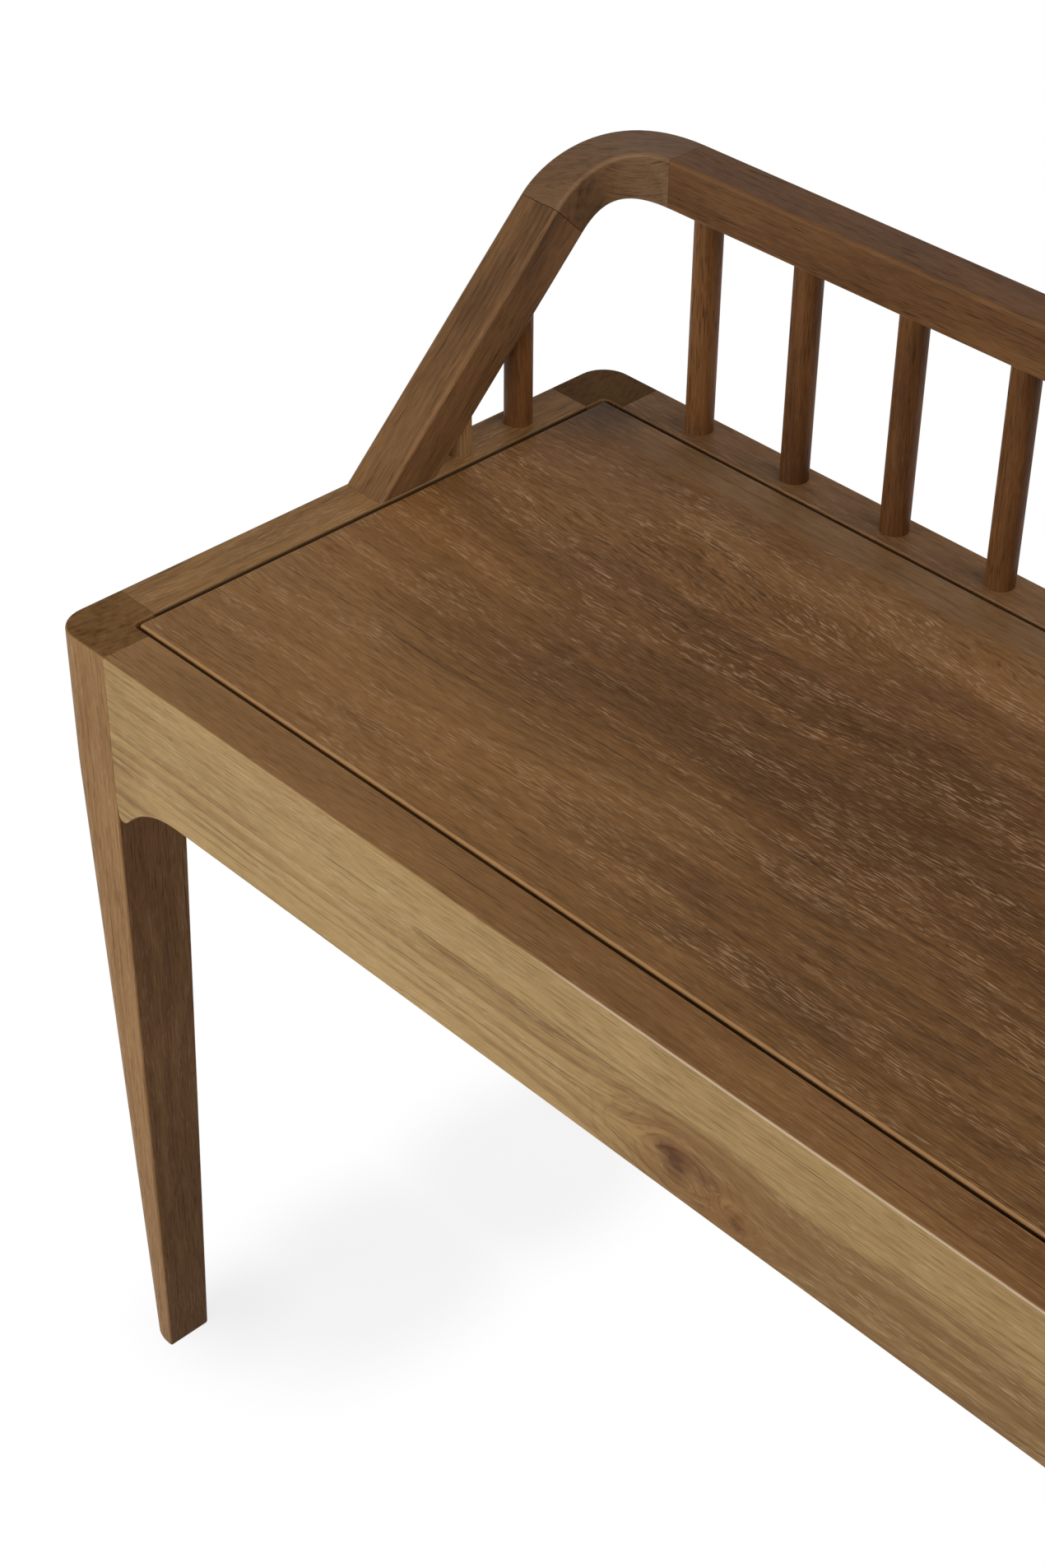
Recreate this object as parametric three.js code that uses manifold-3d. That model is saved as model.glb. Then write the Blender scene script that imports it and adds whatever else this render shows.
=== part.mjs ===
// A deacons bench in oiled hardwood: four tapered legs, a frame of rails with the seat set flush
// in it, and a low spindle back whose top rail runs down to the seat frame in two sloping arms.
// Millimetres, +Z up, origin on the floor under the middle, +X along the length, -Y the front.
import * as THREE from 'three';
import { mergeVertices } from 'three/addons/utils/BufferGeometryUtils.js';
import Module from 'manifold-3d';

// Overall sizes
const benchLength = 1240;
const benchDepth = 350;
const seatHeight = 450;
const backRise = 142.5; // top of the back above the seat frame

// Legs
const legSize = 38.5;
const legCornerRadius = 16;
const outerTaperStart = 74; // below the seat frame's top
const rearTaperStart = 96;
const footWidth = 20.8; // along the bench's length
const footDepth = 25;

// Rails round the seat
const railThickness = 26;
const railDepth = 71;
const stripDepth = 27; // the upper strip of the glued-up front apron
const bracketDrop = 19.3; // below the rail, at each leg
const bracketNoseRadius = 3.5;
const coveRadius = 50;
const railTenonThickness = 10;
const railTenonGap = 2.5; // between the two tenons that meet in a leg
const railTenonShoulder = 12;
const stripTenonShoulder = 7;

// Seat panel and what carries it
const panelGap = 2;
const panelThickness = 18;
const boardShares = [0.075, 0.305, 0.305, 0.315]; // of the panel's depth, from the back
const cleatWidth = 18;
const cleatDepth = 30;
const battenWidth = 45;
const battenThickness = 18;
const battenPlaceShares = [-0.32, 0, 0.32]; // of the length
const cornerBlockReach = 52; // along each rail, from the leg
const cornerBlockDepth = 40;
const cornerBlockEnd = 8;
const cornerBlockGap = 2; // between a corner block and the cleat's end
const screwHeadRadius = 4;
const screwHeadDepth = 3;
const screwRadius = 2;
const screwLength = 28;
const screwTip = 3;
const screwPlaceShare = 0.25; // of the depth, each side of the middle

// Back
const barWidth = 25.5;
const barHeight = 26; // of the sloping arms, square to their slope
const topRailHeight = 25.5;
const armFootFront = 174; // from the front to the arm's foot
const cornerSetback = 33.5; // from the back to where the arm's top line meets the rail's top
const armJointShare = 0.805; // height of the arm's upper joint, of backRise
const bendLength = 63.8; // from the end of the bench to the bend's joint with the top rail
const bendArmHandleShare = 0.56; // of the rise that is left to the bend
const bendOuterHandleShare = 1; // of the bend's run along the rail
const bendInnerHandleShare = 0.8;
const armTenonWidth = 9;
const armTenonShoulder = 6;
const armTenonLength = 20;
const looseTenonThickness = 8;
const looseTenonWidth = 15;
const looseTenonHalf = 15;
const looseTenonRise = 3; // above the middle of the top rail, clear of the spindles

// Spindles
const spindleRadius = 7.25;
const spindleCount = 18;
const firstSpindle = 79.5; // from the end of the bench
const sideSpindleShares = [0.177, 0.472]; // of the way from the arm's foot to the back
const spindleSeatDepth = 15; // into the rails round the seat
const spindleTopDepth = 10; // into the top rail and the arms

// Fits
const fitGap = 0.3; // round tenons, spindles and screws, and in the sloping glue joints
const overrun = 5;

// How finely round shapes are divided
const roundSides = 20;
const screwSides = 12;
const cornerSteps = 6;
const coveSteps = 10;
const bendSteps = 14;

const wasm = await Module();
wasm.setup();

// Finishes
const wood = (color, roughness) => new THREE.MeshStandardMaterial({ color, roughness, metalness: 0 });
const finishes = {
  frame: wood(0x70492f, 0.55),
  apron: wood(0xa07d55, 0.6),
  seat: wood(0x765239, 0.6),
  spindle: wood(0x6b452c, 0.5),
  hidden: wood(0x8a6a4a, 0.8),
  steel: new THREE.MeshStandardMaterial({ color: 0x9a9a98, roughness: 0.35, metalness: 1 }),
};

// A closed geometry as a solid, for cutting and joining.
function solidOf(geometry) {
  const bare = geometry.clone();
  bare.deleteAttribute('normal');
  bare.deleteAttribute('uv');
  const merged = mergeVertices(bare);
  return new wasm.Manifold(new wasm.Mesh({
    numProp: 3,
    vertProperties: merged.attributes.position.array,
    triVerts: new Uint32Array(merged.index.array),
  }));
}

function geometryOf(solid) {
  const mesh = solid.getMesh();
  const geometry = new THREE.BufferGeometry();
  geometry.setAttribute('position', new THREE.BufferAttribute(mesh.vertProperties, 3));
  geometry.setIndex(new THREE.BufferAttribute(mesh.triVerts, 1));
  const flat = geometry.toNonIndexed();
  flat.computeVertexNormals();
  return flat;
}

const joined = (base, ...others) => geometryOf(others.reduce((s, g) => s.add(solidOf(g)), solidOf(base)));
const cut = (base, ...tools) => geometryOf(tools.reduce((s, g) => s.subtract(solidOf(g)), solidOf(base)));

// A box between two corners.
function box(low, high) {
  const size = high.map((value, i) => value - low[i]);
  const middle = high.map((value, i) => (value + low[i]) / 2);
  return new THREE.BoxGeometry(...size).translate(...middle);
}

// A box grown on all sides, for the hole that a tenon fits.
function roomFor(low, high) {
  return box(low.map((value) => value - fitGap), high.map((value) => value + fitGap));
}

// A round bar from one height to another, standing on the XY plane at a point.
function roundBar(x, y, radius, bottom, top, sides = roundSides) {
  const bar = new THREE.CylinderGeometry(radius, radius, top - bottom, sides);
  return bar.rotateX(Math.PI / 2).translate(x, y, (top + bottom) / 2);
}

// An outline in the XZ plane pushed through in Y, and one in the YZ plane pushed through in X.
function plateXZ(shape, from, to) {
  const plate = new THREE.ExtrudeGeometry(shape, { depth: to - from, bevelEnabled: false });
  return plate.rotateX(Math.PI / 2).translate(0, to, 0);
}

function plateYZ(shape, from, to) {
  const plate = new THREE.ExtrudeGeometry(shape, { depth: to - from, bevelEnabled: false });
  return plate.rotateX(Math.PI / 2).rotateZ(Math.PI / 2).translate(from, 0, 0);
}

function plateXY(shape, from, to) {
  const plate = new THREE.ExtrudeGeometry(shape, { depth: to - from, bevelEnabled: false });
  return plate.translate(0, 0, from);
}

const shapeOf = (points) => new THREE.Shape(points.map(([x, y]) => new THREE.Vector2(x, y)));

// A solid through a row of rings, each a list of points in the same order, with flat ends.
function loft(rings) {
  const count = rings[0].length;
  const positions = rings.flat().flatMap((point) => [point.x, point.y, point.z]);
  const index = [];
  for (let ring = 0; ring + 1 < rings.length; ring += 1) {
    for (let i = 0; i < count; i += 1) {
      const a = ring * count + i;
      const b = ring * count + ((i + 1) % count);
      index.push(a, b, b + count, a, b + count, a + count);
    }
  }
  const last = (rings.length - 1) * count;
  for (let i = 1; i + 1 < count; i += 1) {
    index.push(0, i + 1, i, last, last + i, last + i + 1);
  }
  const geometry = new THREE.BufferGeometry();
  geometry.setAttribute('position', new THREE.Float32BufferAttribute(positions, 3));
  geometry.setIndex(index);
  return geometry;
}

// Places that several pieces share. Corner pieces are drawn in the frame of one corner: X and Y
// run inward from the bench's outer corner, and Z is zero at the top of the seat frame.
const railLength = benchLength - 2 * legSize;
const sideRailLength = benchDepth - 2 * legSize;
const tenonFrom = (railThickness - railTenonThickness) / 2;
const tenonTo = tenonFrom + railTenonThickness;
const railTenonLength = legSize - tenonTo - railTenonGap;
const railTenonBottom = -railDepth + railTenonShoulder;
const stripTenonTop = -stripTenonShoulder;
const stripTenonBottom = -stripDepth + stripTenonShoulder;
const boardTenonTop = -stripDepth - stripTenonShoulder;
const railTenons = [[-railTenonShoulder, railTenonBottom]];
const apronTenons = [[stripTenonTop, stripTenonBottom], [boardTenonTop, railTenonBottom]];
const spindleY = benchDepth / 2 - barWidth / 2;
const spindlePitch = (benchLength - 2 * firstSpindle) / (spindleCount - 1);
const firstSpindleX = firstSpindle - benchLength / 2;
const spindleXs = Array.from({ length: spindleCount }, (_, i) => firstSpindleX + i * spindlePitch);
const battenXs = battenPlaceShares.map((share) => share * benchLength);
const screwYs = [-screwPlaceShare * benchDepth, screwPlaceShare * benchDepth];

// The sloping arm in side view: y from the bench's front, z from the seat frame's top.
const armAngle = Math.atan2(backRise, benchDepth - cornerSetback - armFootFront);
const along = new THREE.Vector3(0, Math.cos(armAngle), Math.sin(armAngle));
const upFromArm = new THREE.Vector3(0, -Math.sin(armAngle), Math.cos(armAngle));
const armTopLength = (armJointShare * backRise) / Math.sin(armAngle);
const armFootLength = barHeight / Math.sin(armAngle);
const armFootBack = armFootFront + armFootLength;
const railUnderside = backRise - topRailHeight;
const sideSpindleYs = sideSpindleShares.map((share) => armFootBack + share * (benchDepth - armFootBack));
const armUnderside = (y) => (y - armFootBack) * Math.tan(armAngle);

// A point of the arm: across the bench, up its slope, and out from its top face.
function armPoint(x, slope, out) {
  return new THREE.Vector3(x, armFootFront, 0).addScaledVector(along, slope).addScaledVector(upFromArm, out);
}

// Leg: a square block with a rounded outer corner, straight past the rails, then tapered on its
// outer and rear faces. It is notched at the top for the corner of the seat panel.
function legRing(z, outer, rear) {
  const points = [];
  for (let i = 0; i <= cornerSteps; i += 1) {
    const angle = Math.PI + (i / cornerSteps) * (Math.PI / 2);
    points.push(new THREE.Vector3(
      outer + legCornerRadius * (1 + Math.cos(angle)), legCornerRadius * (1 + Math.sin(angle)), z));
  }
  points.push(new THREE.Vector3(legSize, 0, z), new THREE.Vector3(legSize, legSize - rear, z));
  points.push(new THREE.Vector3(outer, legSize - rear, z));
  return points;
}

function legGeometry(tenonsAlongX) {
  const outerTaper = legSize - footWidth;
  const outerAtRearStart = outerTaper * (rearTaperStart - outerTaperStart) / (seatHeight - outerTaperStart);
  const leg = loft([
    legRing(-seatHeight, outerTaper, legSize - footDepth),
    legRing(-rearTaperStart, outerAtRearStart, 0),
    legRing(-outerTaperStart, 0, 0),
    legRing(0, 0, 0),
  ]);
  const end = legSize - railTenonLength;
  const mouth = legSize + overrun;
  const notch = box([railThickness, railThickness, -panelThickness], [mouth, mouth, overrun]);
  const mortisesX = tenonsAlongX.map(([top, bottom]) =>
    roomFor([end, tenonFrom, bottom], [mouth, tenonTo, top]));
  const mortisesY = railTenons.map(([top, bottom]) =>
    roomFor([tenonFrom, end, bottom], [tenonTo, mouth, top]));
  return cut(leg, notch, ...mortisesX, ...mortisesY);
}

// Underside of a rail with a bracket at each end: a small rounded nose against the leg, then a
// cove that runs out level. The outline starts at the rail's top left and goes round.
function bracketOutline(half, top) {
  const noseX = half - bracketNoseRadius;
  const noseZ = -railDepth - bracketDrop + bracketNoseRadius;
  const reach = coveRadius + bracketNoseRadius;
  const run = Math.sqrt((2 * reach - bracketDrop) * bracketDrop);
  const sweep = Math.asin(run / reach);
  const rightSide = [[half, top], [half, noseZ]];
  for (let i = 1; i <= cornerSteps; i += 1) {
    const angle = (i / cornerSteps) * (Math.PI / 2 + sweep);
    rightSide.push([
      noseX + bracketNoseRadius * Math.cos(angle),
      noseZ - bracketNoseRadius * Math.sin(angle),
    ]);
  }
  for (let i = coveSteps - 1; i >= 0; i -= 1) {
    const angle = (i / coveSteps) * sweep;
    rightSide.push([
      noseX - run + coveRadius * Math.sin(angle),
      -railDepth - coveRadius * (1 - Math.cos(angle)),
    ]);
  }
  const leftSide = rightSide.map(([x, z]) => [-x, z]).reverse();
  return shapeOf([...rightSide, ...leftSide]);
}

// Tenons on both ends of a rail that lies along X with its outer face at Y zero.
function tenonBoxes(half, tenons) {
  return tenons.flatMap(([top, bottom]) => [-1, 1].map((side) => {
    const ends = [side * (half - overrun), side * (half + railTenonLength)].sort((a, b) => a - b);
    return box([ends[0], tenonFrom, bottom], [ends[1], tenonTo, top]);
  }));
}

function bracketRail(length, top, tenons, ...holes) {
  const half = length / 2;
  const rail = joined(plateXZ(bracketOutline(half, top), 0, railThickness), ...tenonBoxes(half, tenons));
  return holes.length ? cut(rail, ...holes) : rail;
}

// Upper strip of the front apron: a plain bar over the apron board, tenoned into the legs.
function apronStrip() {
  const half = railLength / 2;
  const bar = box([-half, 0, -stripDepth], [half, railThickness, 0]);
  return joined(bar, ...tenonBoxes(half, [apronTenons[0]]));
}

const apronBoard = () => bracketRail(railLength, -stripDepth, [apronTenons[1]]);

// Back rail: drilled from above for the spindles.
function backRail() {
  const y = barWidth / 2;
  const holes = spindleXs.map((x) => roundBar(x, y, spindleRadius + fitGap, -spindleSeatDepth, overrun));
  return bracketRail(railLength, 0, railTenons, ...holes);
}

// Side rail: mortised for the arm's foot and drilled for the short spindles. It is drawn along
// X, from the front at -X to the back at +X, and turned into place.
function sideRail() {
  const alongRail = (y) => y - benchDepth / 2;
  const holes = sideSpindleYs.map((y) =>
    roundBar(alongRail(y), barWidth / 2, spindleRadius + fitGap, -spindleSeatDepth, overrun));
  const [low, high] = armTenonBox();
  const mortise = roomFor([alongRail(low[1]), low[0], low[2]], [alongRail(high[1]), high[0], overrun]);
  return bracketRail(sideRailLength, 0, railTenons, mortise, ...holes);
}

// The tenon under the arm's foot: x across the bench from its end, y from the front.
function armTenonBox() {
  const inset = (barWidth - armTenonWidth) / 2;
  return [
    [inset, armFootFront + armTenonShoulder, -armTenonLength],
    [inset + armTenonWidth, armFootBack - armTenonShoulder, 0],
  ];
}

// Seat boards, edge to edge from the back of the opening to the front.
const opening = {
  halfLength: benchLength / 2 - railThickness - panelGap,
  depth: benchDepth - 2 * (railThickness + panelGap),
};
const boardEdges = boardShares.reduce((edges, share) => {
  edges.push(edges[edges.length - 1] - share * opening.depth);
  return edges;
}, [opening.depth / 2]);

function seatBoard(i) {
  const [back, front] = [boardEdges[i], boardEdges[i + 1]];
  const board = box([-opening.halfLength, front, -panelThickness], [opening.halfLength, back, 0]);
  const pilotTop = screwLength - battenThickness - panelThickness + fitGap;
  const pilotBottom = -panelThickness - overrun;
  const pilots = screwYs.filter((y) => y > front && y < back).flatMap((y) =>
    battenXs.map((x) => roundBar(x, y, screwRadius + fitGap, pilotBottom, pilotTop, screwSides)));
  return pilots.length ? cut(board, ...pilots) : board;
}

// Cleat: a ledge along a long rail between the corner blocks, notched for the battens.
function cleat() {
  const half = railLength / 2 - cornerBlockReach - cornerBlockGap;
  const ledge = box([-half, 0, -panelThickness - cleatDepth], [half, cleatWidth, -panelThickness]);
  const floor = -panelThickness - battenThickness;
  const notches = battenXs.map((x) => box(
    [x - battenWidth / 2 - fitGap, -overrun, floor],
    [x + battenWidth / 2 + fitGap, cleatWidth + overrun, -panelThickness + overrun]));
  return cut(ledge, ...notches);
}

// Batten: lies in the cleats' notches from rail to rail and carries the boards.
function batten() {
  const half = benchDepth / 2 - railThickness - fitGap;
  const bar = box([-battenWidth / 2, -half, -battenThickness], [battenWidth / 2, half, 0]);
  const holes = screwYs.map((y) => solidLathe([
    [0, -battenThickness - overrun],
    [screwHeadRadius + fitGap, -battenThickness - overrun],
    [screwHeadRadius + fitGap, -battenThickness],
    [screwRadius + fitGap, -battenThickness + screwHeadDepth],
    [screwRadius + fitGap, overrun],
    [0, overrun],
  ]).translate(0, y, 0));
  return cut(bar, ...holes);
}

function solidLathe(profile) {
  const points = profile.map(([radius, height]) => new THREE.Vector2(radius, height));
  return new THREE.LatheGeometry(points, screwSides).rotateX(Math.PI / 2);
}

// Countersunk screw, head down, its head flush with the batten's underside.
function screw() {
  return solidLathe([
    [0, 0],
    [screwHeadRadius, 0],
    [screwRadius, screwHeadDepth],
    [screwRadius, screwLength - screwTip],
    [0, screwLength],
  ]);
}

// Corner block: fits round the leg's inner corner and against both rails.
function cornerBlock() {
  const far = legSize + cornerBlockReach;
  return plateXY(shapeOf([
    [legSize, railThickness],
    [far, railThickness],
    [far, railThickness + cornerBlockEnd],
    [railThickness + cornerBlockEnd, far],
    [railThickness, far],
    [railThickness, legSize],
    [legSize, legSize],
  ]), -panelThickness - cornerBlockDepth, -panelThickness);
}

// A loose tenon with rounded edges, drawn along Z, and the room that it needs.
function looseTenon(grow = 0) {
  const radius = looseTenonThickness / 2 + grow;
  const flat = (looseTenonWidth - looseTenonThickness) / 2;
  const half = looseTenonHalf + grow;
  const shape = new THREE.Shape();
  shape.absarc(flat, 0, radius, -Math.PI / 2, Math.PI / 2);
  shape.absarc(-flat, 0, radius, Math.PI / 2, Math.PI * 1.5);
  const settings = { depth: 2 * half, bevelEnabled: false, curveSegments: cornerSteps };
  return new THREE.ExtrudeGeometry(shape, settings).translate(0, 0, -half);
}

// Where the loose tenons lie: on the arm's slope, and level in the top rail.
const armJoint = new THREE.Matrix4()
  .makeBasis(new THREE.Vector3(1, 0, 0), upFromArm.clone().negate(), along)
  .setPosition(armPoint(barWidth / 2, armTopLength, -barHeight / 2));
const railJoint = new THREE.Matrix4()
  .makeBasis(new THREE.Vector3(0, 1, 0), new THREE.Vector3(0, 0, 1), new THREE.Vector3(1, 0, 0))
  .setPosition(bendLength, benchDepth - barWidth / 2, backRise - topRailHeight / 2 + looseTenonRise);

// Arm: a square bar cut level at its foot, where its own tenon goes into the side rail, and
// square to its slope at the joint with the bend.
function arm() {
  const upperJoint = armPoint(0, armTopLength, 0);
  const lowerJoint = armPoint(0, armTopLength, -barHeight);
  const side = shapeOf([
    [armFootFront, 0],
    [armFootBack, 0],
    [lowerJoint.y, lowerJoint.z],
    [upperJoint.y, upperJoint.z],
  ]);
  const [low, high] = armTenonBox();
  const tenon = box(low, [high[0], high[1], armTenonShoulder / 2]);
  const holes = sideSpindleYs.map((y) =>
    roundBar(barWidth / 2, y, spindleRadius + fitGap, -overrun, armUnderside(y) + spindleTopDepth + fitGap));
  return cut(joined(plateYZ(side, 0, barWidth), tenon), ...holes, looseTenon(fitGap).applyMatrix4(armJoint));
}

// Bend: four edge curves leave the arm along its slope and arrive along the top rail, and the
// block is the solid between them.
function bendEdge(x, out, backInset, below, innerShare) {
  const start = armPoint(x, armTopLength + fitGap, out);
  const end = new THREE.Vector3(bendLength, benchDepth - backInset, backRise - below);
  const armHandle = bendArmHandleShare * (end.z - start.z) / Math.sin(armAngle);
  const railHandle = innerShare * (bendLength - x);
  return new THREE.CubicBezierCurve3(
    start,
    start.clone().addScaledVector(along, armHandle),
    end.clone().setX(bendLength - railHandle),
    end,
  ).getPoints(bendSteps);
}

function bend() {
  const edges = [
    bendEdge(barWidth, 0, barWidth, 0, bendInnerHandleShare),
    bendEdge(barWidth, -barHeight, barWidth, topRailHeight, bendInnerHandleShare),
    bendEdge(0, -barHeight, 0, topRailHeight, bendOuterHandleShare),
    bendEdge(0, 0, 0, 0, bendOuterHandleShare),
  ];
  const block = loft(edges[0].map((_, i) => edges.map((edge) => edge[i])));
  return cut(block, looseTenon(fitGap).applyMatrix4(armJoint), looseTenon(fitGap).applyMatrix4(railJoint));
}

// Top rail: drilled from below for the spindles, and mortised at both ends.
function topRail() {
  const half = benchLength / 2 - bendLength;
  const bar = box([-half, -barWidth, railUnderside], [half, 0, backRise]);
  const holes = spindleXs.map((x) => roundBar(
    x, -barWidth / 2, spindleRadius + fitGap, railUnderside - overrun, railUnderside + spindleTopDepth));
  const toEnd = new THREE.Matrix4().makeTranslation(-benchLength / 2, -benchDepth, 0).multiply(railJoint);
  const left = looseTenon(fitGap).applyMatrix4(toEnd);
  const right = left.clone().translate(2 * half, 0, 0);
  return cut(bar, ...holes, left, right);
}

// A spindle that reaches from its hole in the seat frame to its hole above.
const spindle = (top) => roundBar(0, 0, spindleRadius, -spindleSeatDepth + fitGap, top);
const backSpindle = () => spindle(railUnderside + spindleTopDepth - fitGap);

const bench = new THREE.Group();
const seatTop = new THREE.Group();
seatTop.position.z = seatHeight;
bench.add(seatTop);

function add(name, geometry, finish, group = seatTop, x = 0, y = 0, z = 0) {
  const mesh = new THREE.Mesh(geometry, finish);
  mesh.name = name;
  mesh.position.set(x, y, z);
  group.add(mesh);
  return mesh;
}

// A corner of the bench: its frame starts at the outer corner and runs inward.
function corner(sideX, sideY) {
  const group = new THREE.Group();
  group.position.set(-sideX * benchLength / 2, -sideY * benchDepth / 2, 0);
  group.scale.set(sideX, sideY, 1);
  seatTop.add(group);
  return group;
}

for (const [end, sideX] of [['left', 1], ['right', -1]]) {
  const front = corner(sideX, 1);
  const back = corner(sideX, -1);
  add(`leg_front_${end}`, legGeometry(apronTenons), finishes.frame, front);
  add(`leg_back_${end}`, legGeometry(railTenons), finishes.frame, back);
  add(`corner_block_front_${end}`, cornerBlock(), finishes.hidden, front);
  add(`corner_block_back_${end}`, cornerBlock(), finishes.hidden, back);

  const rail = add(`side_rail_${end}`, sideRail(), finishes.frame, front, 0, benchDepth / 2);
  rail.rotation.z = Math.PI / 2;
  rail.scale.y = -1;
  add(`arm_${end}`, arm(), finishes.frame, front);
  add(`bend_${end}`, bend(), finishes.frame, front);
  add(`loose_tenon_arm_${end}`, looseTenon().applyMatrix4(armJoint), finishes.hidden, front);
  add(`loose_tenon_rail_${end}`, looseTenon().applyMatrix4(railJoint), finishes.hidden, front);
  sideSpindleYs.forEach((y, i) => {
    const short = spindle(armUnderside(y) + spindleTopDepth);
    add(`side_spindle_${end}_${i + 1}`, short, finishes.spindle, front, barWidth / 2, y);
  });
}

add('apron_strip', apronStrip(), finishes.apron, seatTop, 0, -benchDepth / 2);
add('apron_board', apronBoard(), finishes.apron, seatTop, 0, -benchDepth / 2);
const backGroup = new THREE.Group();
backGroup.position.y = benchDepth / 2;
seatTop.add(backGroup);
add('back_rail', backRail(), finishes.frame, backGroup).scale.y = -1;
add('top_rail', topRail(), finishes.frame, backGroup);

spindleXs.forEach((x, i) => {
  const number = String(i + 1).padStart(2, '0');
  add(`back_spindle_${number}`, backSpindle(), finishes.spindle, seatTop, x, spindleY);
});

boardShares.forEach((_, i) => add(`seat_board_${i + 1}`, seatBoard(i), finishes.seat));

const cleatY = benchDepth / 2 - railThickness;
add('cleat_front', cleat(), finishes.hidden, seatTop, 0, -cleatY);
add('cleat_back', cleat(), finishes.hidden, seatTop, 0, cleatY).scale.y = -1;

battenXs.forEach((x, i) => {
  add(`batten_${i + 1}`, batten(), finishes.hidden, seatTop, x, 0, -panelThickness);
  screwYs.forEach((y, j) => {
    const under = -panelThickness - battenThickness;
    add(`seat_screw_${i + 1}_${j + 1}`, screw(), finishes.steel, seatTop, x, y, under);
  });
});

export default bench;
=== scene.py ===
# A deacons bench in oiled hardwood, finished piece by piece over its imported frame, in metres.
import math

import bpy
from mathutils import Matrix, Vector


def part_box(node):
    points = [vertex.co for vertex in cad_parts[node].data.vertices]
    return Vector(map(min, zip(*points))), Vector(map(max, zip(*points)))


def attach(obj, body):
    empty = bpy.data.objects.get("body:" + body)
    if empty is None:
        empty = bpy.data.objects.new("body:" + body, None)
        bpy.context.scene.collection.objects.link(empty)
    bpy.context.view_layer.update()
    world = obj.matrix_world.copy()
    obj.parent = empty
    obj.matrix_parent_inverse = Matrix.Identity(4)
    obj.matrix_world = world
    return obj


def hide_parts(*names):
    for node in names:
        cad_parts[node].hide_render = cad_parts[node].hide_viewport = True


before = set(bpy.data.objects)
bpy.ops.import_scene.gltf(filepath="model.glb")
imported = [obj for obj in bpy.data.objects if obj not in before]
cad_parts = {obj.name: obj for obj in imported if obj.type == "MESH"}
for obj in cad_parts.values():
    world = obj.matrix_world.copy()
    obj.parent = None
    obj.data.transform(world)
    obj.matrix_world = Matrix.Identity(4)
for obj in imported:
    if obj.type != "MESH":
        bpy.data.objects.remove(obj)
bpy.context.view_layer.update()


# Legs: each is one length of hardwood, square at the top with its outer corner rounded over, and
# tapered on its outer and rear faces from under the rails. The top is notched on the inside for
# the corner of the seat, and shows end grain. The rails are tenoned into it and glued.
bench_end, bench_front = 0.62, 0.175
seat_top = 0.45
leg_side = 0.0385
leg_corner = 0.016
rail_thickness = 0.026
foot_width, foot_depth = 0.0208, 0.025
outer_taper_from = seat_top - 0.074
rear_taper_from = seat_top - 0.096
bracket_tip = seat_top - 0.0903
seat_thickness = 0.018
notch_round = 0.003
joint_x, joint_y = bench_end - leg_side, bench_front - leg_side
arris = 0.0011
glue_line = 0.00016
# Places nearer than close are one place, a cutting block reaches clear past the wood, and an edge or
# face points mostly one way when this much of its direction does.
close = 1e-5
clear = 0.01
mostly = 0.9


def block(name, low, high):
    bpy.ops.object.select_all(action="DESELECT")
    middle = [(a + b) / 2 for a, b in zip(low, high)]
    bpy.ops.mesh.primitive_cube_add(size=1, location=middle, scale=[b - a for a, b in zip(low, high)])
    piece = bpy.context.object
    piece.name = piece.data.name = name
    bpy.ops.object.transform_apply(location=True, rotation=True, scale=True)
    return piece


def work_on(piece):
    if bpy.context.mode != "OBJECT":
        bpy.ops.object.mode_set(mode="OBJECT")
    bpy.ops.object.select_all(action="DESELECT")
    piece.select_set(True)
    bpy.context.view_layer.objects.active = piece


# Leaves the piece in edit mode with the chosen points, edges or faces selected. Edges are chosen by
# their middle and direction, and faces by their middle and normal.
def pick(piece, kind, chosen):
    work_on(piece)
    bpy.ops.object.mode_set(mode="EDIT")
    bpy.ops.mesh.select_mode(type=kind)
    bpy.ops.mesh.select_all(action="DESELECT")
    bpy.ops.object.mode_set(mode="OBJECT")
    mesh = piece.data
    if kind == "VERT":
        for point in mesh.vertices:
            point.select = chosen(point.co)
    elif kind == "EDGE":
        for edge in mesh.edges:
            a, b = (mesh.vertices[i].co for i in edge.vertices)
            edge.select = chosen((a + b) / 2, (b - a).normalized())
    else:
        for face in mesh.polygons:
            face.select = chosen(face.center, face.normal)
    bpy.ops.object.mode_set(mode="EDIT")


def saw(piece, place, across, drop_far=False):
    work_on(piece)
    bpy.ops.object.mode_set(mode="EDIT")
    bpy.ops.mesh.select_all(action="SELECT")
    bpy.ops.mesh.bisect(plane_co=place, plane_no=across, use_fill=drop_far, clear_outer=drop_far)
    bpy.ops.object.mode_set(mode="OBJECT")


def apply_modifier(piece, kind, **settings):
    work_on(piece)
    modifier = piece.modifiers.new(kind.lower(), kind)
    for key, value in settings.items():
        setattr(modifier, key, value)
    bpy.ops.object.modifier_apply(modifier=modifier.name)


def turn_outwards(piece):
    pick(piece, "FACE", lambda m, n: True)
    bpy.ops.mesh.remove_doubles(threshold=close)
    bpy.ops.mesh.normals_make_consistent(inside=False)
    bpy.ops.object.mode_set(mode="OBJECT")


def cut_away(piece, *tools):
    for tool in tools:
        apply_modifier(piece, "BOOLEAN", operation="DIFFERENCE", solver="EXACT", object=tool)
        bpy.data.objects.remove(tool)


# A copy with its own mesh, moved, or mirrored with its faces turned outwards again.
def copy_of(piece, name, flip=(1, 1, 1), move=(0, 0, 0)):
    twin = piece.copy()
    twin.data = piece.data.copy()
    twin.name = twin.data.name = name
    bpy.context.scene.collection.objects.link(twin)
    twin.data.transform(Matrix.Translation(move) @ Matrix.Diagonal((*flip, 1)))
    if flip[0] * flip[1] * flip[2] < 0:
        turn_outwards(twin)
    return twin


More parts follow.
